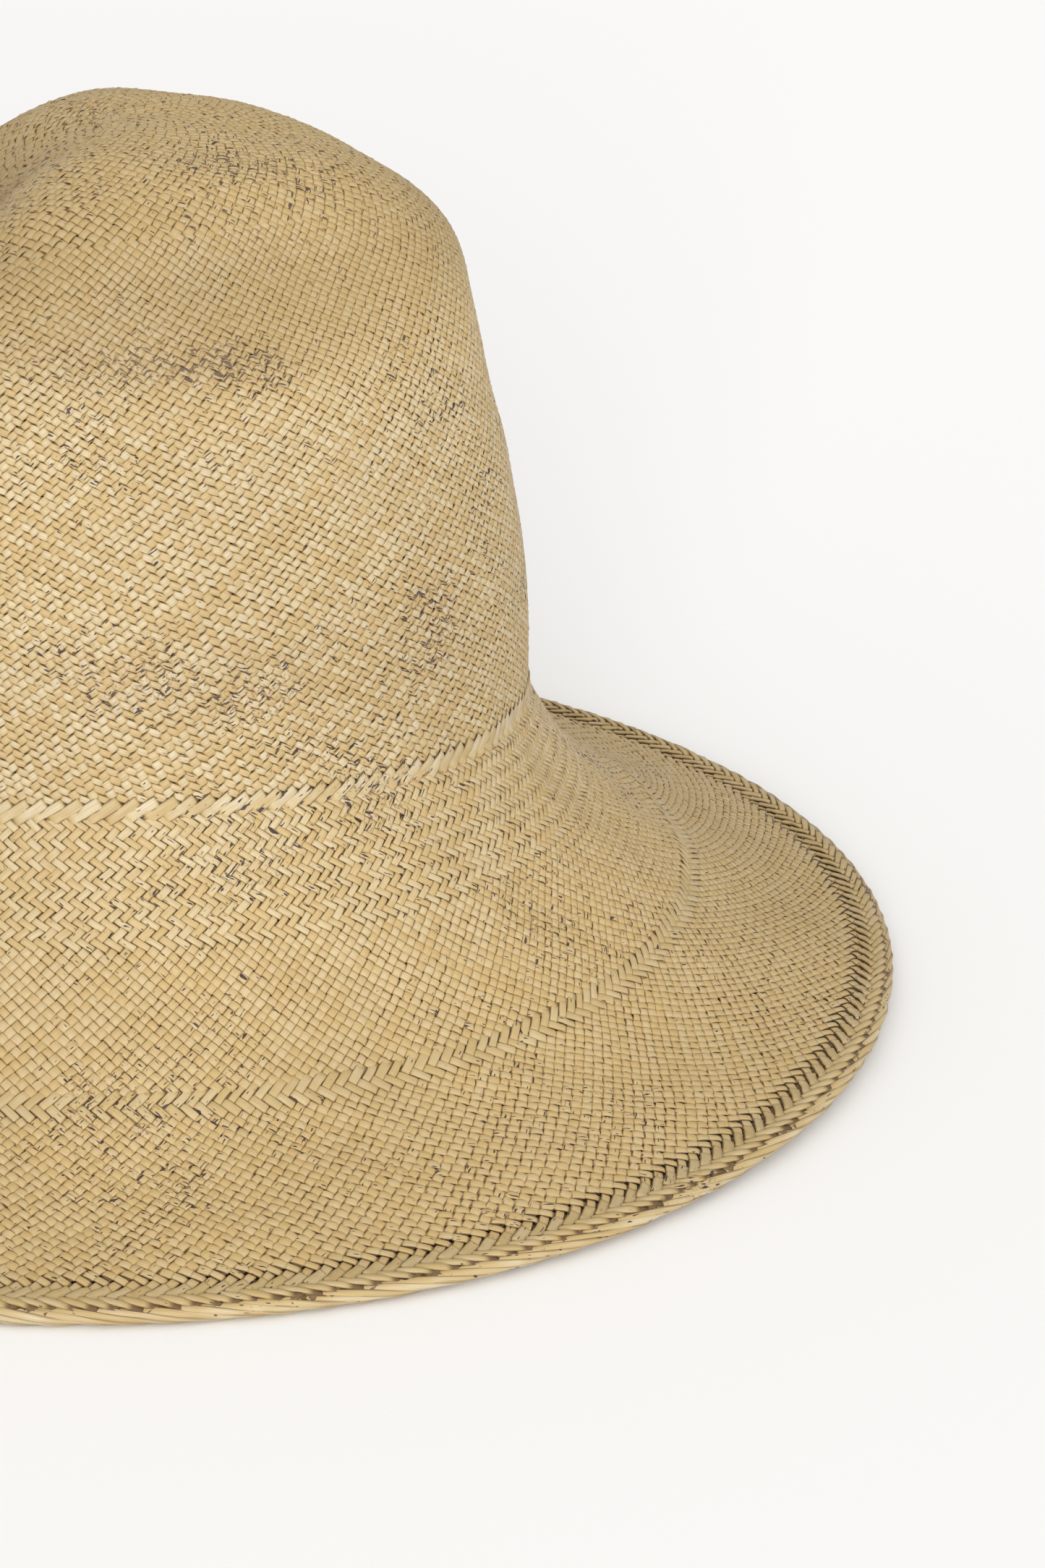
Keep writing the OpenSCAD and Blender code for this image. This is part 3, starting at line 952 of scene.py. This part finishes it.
def sweatband_bow():
    """Two flattened loops of narrow ribbon and the turn of ribbon that ties them."""
    base, normal = off_wall(ring_at_height(SWEATBAND_BOTTOM + BOW_HEIGHT),
                            np.array([180.0]), SWEATBAND_INSIDE - BOW_OFF)
    inward = -normal[0]
    aside = unit(np.cross(inward, np.array([0.0, 0.0, 1.0])))
    up = np.cross(aside, inward)
    turn = np.linspace(-160, 160, 33)
    out = 0.5 + 0.5 * np.cos(np.radians(turn))
    deep = 0.75 * np.sin(np.radians(turn))
    reach = BOW_WIDTH / 2 - 1.5
    pieces = []
    for side, name in ((1, "right"), (-1, "left")):
        rise = deep + 0.22 * reach * out**1.5
        place = (base[0] + side * aside * (1.2 + reach * out)[:, None]
                 + inward * rise[:, None] + up * (0.6 * np.sin(2 * out))[:, None])
        facing = unit(np.cross(np.gradient(place, axis=0), up) * side)
        half_width = LOOP_HALF_WIDTH + LOOP_HALF_GAIN * out
        pieces.append(strips(f"sweatband_bow_{name}_loop", place[None], facing[None],
                             half_width[None], BOW_THICKNESS, cloth,
                             "sweatband_bow"))
    around = np.radians(np.linspace(-175, 175, 25))
    place = (base[0] + aside * (1.9 * np.cos(around))[:, None]
             + inward * (0.3 + 1.15 * np.sin(around))[:, None])
    facing = unit(aside * np.cos(around)[:, None] + inward * np.sin(around)[:, None])
    pieces.append(strips("sweatband_bow_knot", place[None], facing[None],
                         np.full((1, len(around)), KNOT_HALF_WIDTH), BOW_THICKNESS, cloth,
                         "sweatband_bow"))
    return pieces


ribbon, ribbon_length = sweatband()
stitches = sweatband_stitches()
bow = sweatband_bow()

# ---- Floor, light and camera ----

# Half the side of the floor, in metres
FLOOR_HALF = 6.0
WORLD_STRENGTH = 0.80


def stage_floor():
    """The plain, pale surface that the hat stands on."""
    mesh = bpy.data.meshes.new("studio_floor")
    half = FLOOR_HALF
    mesh.from_pydata([(-half, -half, 0), (half, -half, 0), (half, half, 0), (-half, half, 0)],
                     [], [(0, 1, 2, 3)])
    floor = bpy.data.objects.new("studio_floor", mesh)
    bpy.context.scene.collection.objects.link(floor)
    n = Nodes("studio_floor")
    n.shader.inputs["Base Color"].default_value = (*FLOOR_WHITE, 1)
    n.shader.inputs["Roughness"].default_value = 0.9
    n.shader.inputs["Specular IOR Level"].default_value = 0.0
    floor.data.materials.append(n.material)


def soft_light(name, azimuth, elevation, spread, strength):
    """A large, far soft box, from the camera's side of the hat at azimuth 0."""
    light = bpy.data.lights.new(name, "SUN")
    light.energy, light.angle = strength, math.radians(spread)
    lamp = bpy.data.objects.new(name, light)
    bpy.context.scene.collection.objects.link(lamp)
    lamp.rotation_euler = (math.radians(90 - elevation), 0, math.radians(azimuth))


def studio():
    """The floor, an even white surrounding and one soft light from the camera's side."""
    stage_floor()
    world = bpy.data.worlds.new("studio")
    world.use_nodes = True
    background = world.node_tree.nodes["Background"]
    background.inputs["Color"].default_value = (*WHITE, 1)
    background.inputs["Strength"].default_value = WORLD_STRENGTH
    bpy.context.scene.world = world
    soft_light("key", azimuth=0, elevation=18, spread=36, strength=2.46)
    bpy.context.scene.view_settings.view_transform = "Standard"


CAMERA_ELEVATION = 27.5
CAMERA_DISTANCE = 1250
# The point that the camera's distance is measured from, and the way from it to the middle
# of the picture, across and up as the camera sees it
CAMERA_MIDDLE = (0, 3.8, 0.3)
CAMERA_AIM = (103, 37.8)
LENS = 119.1


def add_camera():
    """A camera that looks down at the hat, with the hat's left part out of the picture."""
    tilt = math.radians(CAMERA_ELEVATION)
    middle = Vector(CAMERA_MIDDLE) * MM
    back = Vector((0, -math.cos(tilt), math.sin(tilt)))
    right = Vector((1, 0, 0))
    up = back.cross(right)
    place = middle + back * CAMERA_DISTANCE * MM
    target = middle + (right * CAMERA_AIM[0] + up * CAMERA_AIM[1]) * MM
    ahead = (target - place).normalized()
    right = (right - ahead * right.dot(ahead)).normalized()
    up = right.cross(ahead)
    camera = bpy.data.objects.new("camera", bpy.data.cameras.new("camera"))
    camera.matrix_world = Matrix.Translation(place) @ Matrix(
        (right, up, -ahead)).transposed().to_4x4()
    camera.data.sensor_width = 36
    camera.data.lens = LENS
    bpy.context.scene.collection.objects.link(camera)
    bpy.context.scene.camera = camera


studio()
add_camera()
